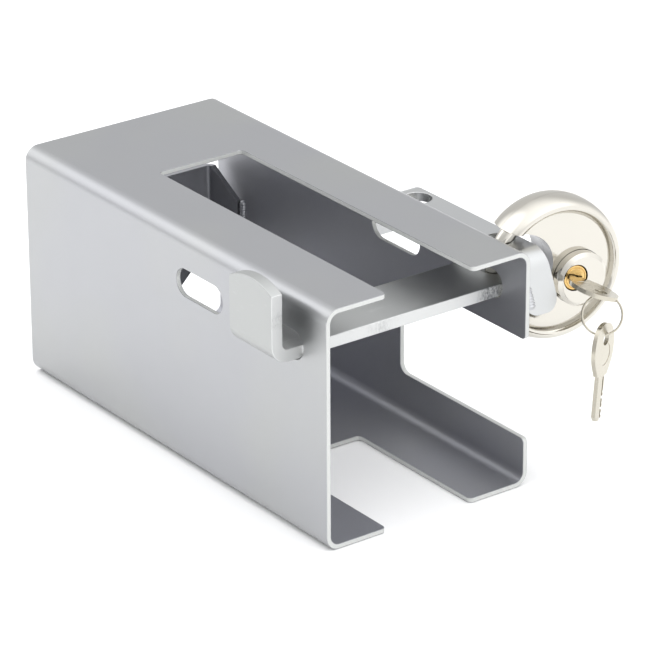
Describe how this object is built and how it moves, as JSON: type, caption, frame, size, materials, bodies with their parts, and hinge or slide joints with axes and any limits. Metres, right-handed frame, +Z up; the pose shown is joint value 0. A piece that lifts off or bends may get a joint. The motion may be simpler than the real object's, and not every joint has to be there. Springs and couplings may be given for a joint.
{
  "type": "trailer coupler lock",
  "caption": "Folded steel box that slips over a trailer coupler, held by a bent bar through side slots and a round shielded padlock on a welded bracket.",
  "frame": {"origin": "middle of the box's width and length, on its underside", "axes": "+Z up, +Y towards the closed rear end of the box, +X towards the padlock side"},
  "size_m": [0.1991, 0.2603, 0.1257],
  "materials": {
    "zinc_plated_steel": "satin zinc plate, cool grey",
    "weld_metal": "plated weld beads, rippled",
    "galvanised_bar": "mottled galvanised, satin",
    "polished_stainless": "polished, warm white reflections",
    "inner_steel": "machined",
    "brass": "turned brass, bright",
    "nickel_plate": "nickel plate, bright"
  },
  "bodies": {
    "box": {"housing": "zinc_plated_steel", "rear_stop": "zinc_plated_steel", "padlock_bracket": "zinc_plated_steel", "bracket_weld_front": "weld_metal", "bracket_weld_rear": "weld_metal", "bracket_weld_top_front": "weld_metal", "bracket_weld_top_middle": "weld_metal", "bracket_weld_top_rear": "weld_metal", "stop_weld_left": "weld_metal", "stop_weld_right": "weld_metal"},
    "locking_bar": {"locking_bar": "galvanised_bar"},
    "padlock": {"padlock_front_shell": "polished_stainless", "padlock_rear_shell": "polished_stainless", "padlock_core_front": "inner_steel", "padlock_core_rear": "inner_steel", "padlock_boss": "polished_stainless", "lock_cylinder": "brass", "core_rivet_1": "inner_steel", "core_rivet_2": "inner_steel", "core_rivet_3": "inner_steel", "core_rivet_4": "inner_steel", "driver_pin_1": "inner_steel", "driver_pin_2": "inner_steel", "driver_pin_3": "inner_steel", "driver_pin_4": "inner_steel", "driver_pin_5": "inner_steel", "pin_spring_1": "inner_steel", "pin_spring_2": "inner_steel", "pin_spring_3": "inner_steel", "pin_spring_4": "inner_steel", "pin_spring_5": "inner_steel"},
    "plug": {"plug": "brass", "drive_cam": "inner_steel", "key_pin_1": "brass", "key_pin_2": "brass", "key_pin_3": "brass", "key_pin_4": "brass", "key_pin_5": "brass"},
    "shackle": {"shackle": "polished_stainless", "shackle_drive_plate": "inner_steel"},
    "key": {"key": "nickel_plate"},
    "key_ring": {"key_ring": "nickel_plate"},
    "spare_key": {"spare_key": "nickel_plate"}
  },
  "joints": [
    {"name": "bar_slide", "type": "slide", "parent": "box", "child": "locking_bar", "axis": [1, 0, 0], "range_m": [-0.0042, 0.0003]},
    {"name": "padlock_swing", "type": "hinge", "parent": "box", "child": "padlock", "pos_m": [0.0646, -0.087, 0.0957], "axis": [0, 0, 1], "range_deg": [-6, 8]},
    {"name": "plug_turn", "type": "hinge", "parent": "padlock", "child": "plug", "pos_m": [0.09824, -0.09179, 0.08772], "axis": [-0.1392, -0.9903, 0], "range_deg": [0, 100]},
    {"name": "shackle_turn", "type": "hinge", "parent": "padlock", "child": "shackle", "pos_m": [0.0919, -0.0909, 0.0907], "axis": [-0.1392, -0.9903, 0], "range_deg": [0, 100]},
    {"name": "key_slide", "type": "slide", "parent": "plug", "child": "key", "axis": [-0.1392, -0.9903, 0], "range_m": [0, 0.024]},
    {"name": "ring_swing", "type": "hinge", "parent": "key", "child": "key_ring", "pos_m": [0.09271, -0.12893, 0.07844], "axis": [0.537, 0.7391, -0.4067], "range_deg": [-18, 18]},
    {"name": "spare_key_swing", "type": "hinge", "parent": "key_ring", "child": "spare_key", "pos_m": [0.09271, -0.12893, 0.07844], "axis": [0.537, 0.7391, -0.4067], "range_deg": [-20, 20]}
  ],
  "couplings": [
    {"joint": "shackle_turn", "follows": "plug_turn", "ratio": 1}
  ]
}
